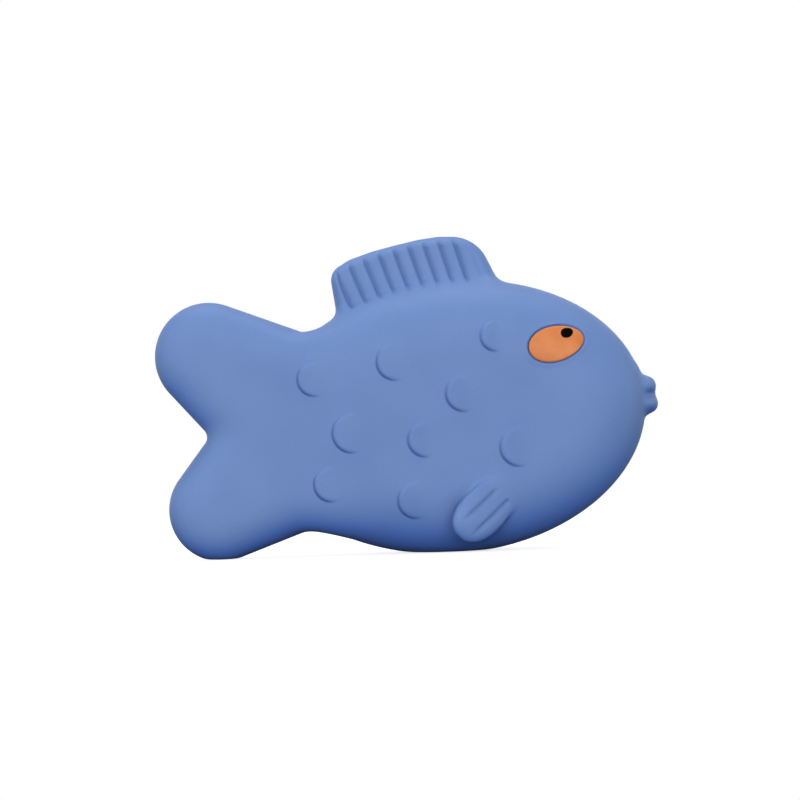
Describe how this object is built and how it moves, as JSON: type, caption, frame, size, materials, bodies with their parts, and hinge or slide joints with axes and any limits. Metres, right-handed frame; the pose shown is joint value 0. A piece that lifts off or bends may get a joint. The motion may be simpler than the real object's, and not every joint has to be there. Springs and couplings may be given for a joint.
{
  "type": "squeaky bath toy",
  "caption": "Hollow moulded rubber fish that stands on its belly and lower tail lobe, with painted eyes, and a reed squeaker in the belly that sounds when the flanks are pressed.",
  "frame": {"origin": "middle of the bounding box at floor level, on the mould's parting plane", "axes": "+X towards the nose, +Z towards the back fin, and -Y out of the right flank, which the picture shows"},
  "size_m": [0.1404, 0.0446, 0.0883],
  "materials": {
    "blue_rubber": "matte",
    "orange_paint": "satin",
    "black_paint": "satin",
    "white_plastic": "satin",
    "reed_film": "gloss"
  },
  "bodies": {
    "skin": {"body_skin": "blue_rubber", "squeaker_case": "white_plastic", "squeaker_lid": "white_plastic", "reed_trough": "white_plastic", "reed_wedge": "white_plastic"},
    "right_flank": {"right_iris": "orange_paint", "right_pupil": "black_paint"},
    "left_flank": {"left_iris": "orange_paint", "left_pupil": "black_paint"},
    "reed_blade": {"reed": "reed_film"}
  },
  "joints": [
    {"name": "right_flank_press", "type": "slide", "parent": "skin", "child": "right_flank", "axis": [0, 1, 0], "range_m": [0, 0.0045], "stiffness_N_per_m": 10, "deforming": ["body_skin"]},
    {"name": "left_flank_press", "type": "slide", "parent": "skin", "child": "left_flank", "axis": [0, -1, 0], "range_m": [0, 0.0045], "stiffness_N_per_m": 10, "deforming": ["body_skin"]},
    {"name": "reed_flutter", "type": "hinge", "parent": "skin", "child": "reed_blade", "pos_m": [0.01012, 0, 0.0049], "axis": [0, 1, 0], "range_deg": [-2, 5], "stiffness_Nm_per_rad": 0.000005, "deforming": ["reed"]}
  ],
  "couplings": [
    {"joint": "left_flank_press", "follows": "right_flank_press", "ratio": 1}
  ]
}
